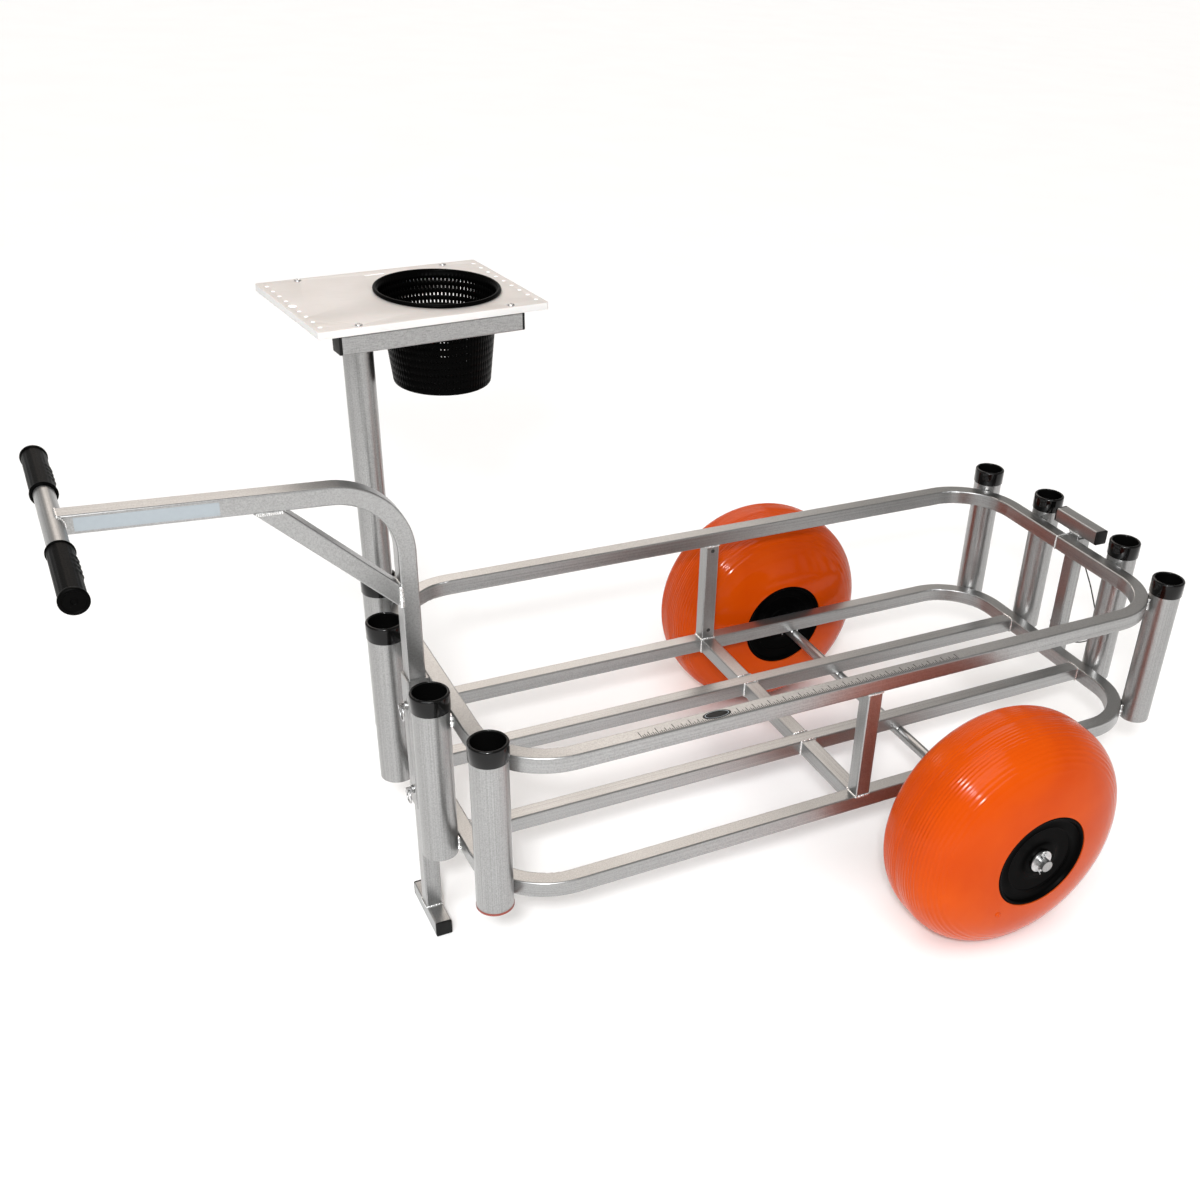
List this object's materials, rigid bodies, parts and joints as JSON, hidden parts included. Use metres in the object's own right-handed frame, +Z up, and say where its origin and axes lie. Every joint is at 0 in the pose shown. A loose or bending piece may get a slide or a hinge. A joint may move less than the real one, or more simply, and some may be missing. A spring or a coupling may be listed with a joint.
{
  "type": "beach cart",
  "caption": "Aluminium fishing beach cart with balloon wheels, rod holders, a pull handle, stands and a swivelling bait board with a basket.",
  "frame": {"origin": "middle of the bounding box on the ground", "axes": "+X from the pull handle towards the rear, +Y to the right of someone who looks back from the handle, +Z up"},
  "size_m": [1.6984, 1.01, 0.919],
  "materials": {
    "aluminium": "satin, faintly brushed",
    "steel": "plain zinc",
    "black_vinyl": "glossy dip-moulded vinyl",
    "plug_plastic": "semi-matt",
    "orange_tyre": "smooth, glossy, ribbed tread",
    "hub_plastic": "semi-gloss moulded",
    "bush_plastic": "smooth",
    "grip_rubber": "ribbed matt",
    "board_plastic": "satin cutting board",
    "basket_plastic": "semi-gloss",
    "lanyard_cord": "coated cable"
  },
  "bodies": {
    "cart": {"lower_loop": "aluminium", "upper_loop": "aluminium", "floor_slat_left": "aluminium", "floor_slat_right": "aluminium", "cross_tube_left": "aluminium", "cross_tube_middle": "aluminium", "cross_tube_right": "aluminium", "mid_post_left": "aluminium", "mid_post_right": "aluminium", "rod_holder_front_left_outer": "aluminium", "rod_holder_front_left_inner": "aluminium", "rod_holder_front_right_inner": "aluminium", "rod_holder_front_right_outer": "aluminium", "rod_holder_rear_left_outer": "aluminium", "rod_holder_rear_left_inner": "aluminium", "rod_holder_rear_right_inner": "aluminium", "rod_holder_rear_right_outer": "aluminium", "front_collars": "black_vinyl", "rear_collars": "black_vinyl", "holder_stops": "plug_plastic", "front_receiver": "aluminium", "rear_sleeves": "aluminium", "axle": "steel", "axle_washers": "steel", "cotter_pins": "steel", "handle_tube": "aluminium", "handle_brace": "aluminium", "handle_crossbar": "aluminium", "grip_left": "grip_rubber", "grip_right": "grip_rubber", "stand_leg": "aluminium", "stand_foot": "aluminium", "stand_foot_plugs": "plug_plastic", "rear_stand_tube": "aluminium", "rear_stand_foot": "aluminium", "rear_stand_plugs": "plug_plastic", "lanyard": "lanyard_cord"},
    "wheel_left": {"tyre_left": "orange_tyre", "hub_left_outer": "hub_plastic", "hub_left_inner": "hub_plastic", "bushes_left": "bush_plastic", "valve_left": "orange_tyre"},
    "wheel_right": {"tyre_right": "orange_tyre", "hub_right_outer": "hub_plastic", "hub_right_inner": "hub_plastic", "bushes_right": "bush_plastic", "valve_right": "orange_tyre"},
    "bait_board": {"bait_post": "aluminium", "board_frame": "aluminium", "board_frame_plugs": "plug_plastic", "bait_board": "board_plastic", "board_screws": "steel"},
    "basket": {"basket": "basket_plastic"},
    "receiver_pin_upper": {"receiver_pin_upper": "steel"},
    "receiver_pin_lower": {"receiver_pin_lower": "steel"},
    "pin_ring_upper": {"pin_ring_upper": "steel"},
    "pin_ring_lower": {"pin_ring_lower": "steel"},
    "rear_pin": {"rear_pin": "steel"}
  },
  "joints": [
    {"name": "wheel_left_spin", "type": "hinge", "parent": "cart", "child": "wheel_left", "pos_m": [0.3776, -0.392, 0.2], "axis": [0, 1, 0], "continuous": true},
    {"name": "wheel_right_spin", "type": "hinge", "parent": "cart", "child": "wheel_right", "pos_m": [0.3776, 0.392, 0.2], "axis": [0, 1, 0], "continuous": true},
    {"name": "board_swivel", "type": "hinge", "parent": "cart", "child": "bait_board", "pos_m": [-0.40266, 0.24489, 0.35], "axis": [0, 0, 1], "continuous": true},
    {"name": "basket_lift", "type": "slide", "parent": "bait_board", "child": "basket", "axis": [0, 0, 1], "range_m": [0, 0.16]},
    {"name": "pin_upper_pull", "type": "slide", "parent": "cart", "child": "receiver_pin_upper", "axis": [-1, 0, 0], "range_m": [0, 0.05]},
    {"name": "pin_lower_pull", "type": "slide", "parent": "cart", "child": "receiver_pin_lower", "axis": [-1, 0, 0], "range_m": [0, 0.05]},
    {"name": "ring_upper_swing", "type": "hinge", "parent": "receiver_pin_upper", "child": "pin_ring_upper", "pos_m": [-0.447, 0, 0.4], "axis": [0, 1, 0], "range_deg": [-8, 165]},
    {"name": "ring_lower_swing", "type": "hinge", "parent": "receiver_pin_lower", "child": "pin_ring_lower", "pos_m": [-0.447, 0, 0.251], "axis": [0, 1, 0], "range_deg": [-8, 165]},
    {"name": "rear_pin_pull", "type": "slide", "parent": "cart", "child": "rear_pin", "axis": [0, -1, 0], "range_m": [0, 0.045]}
  ]
}
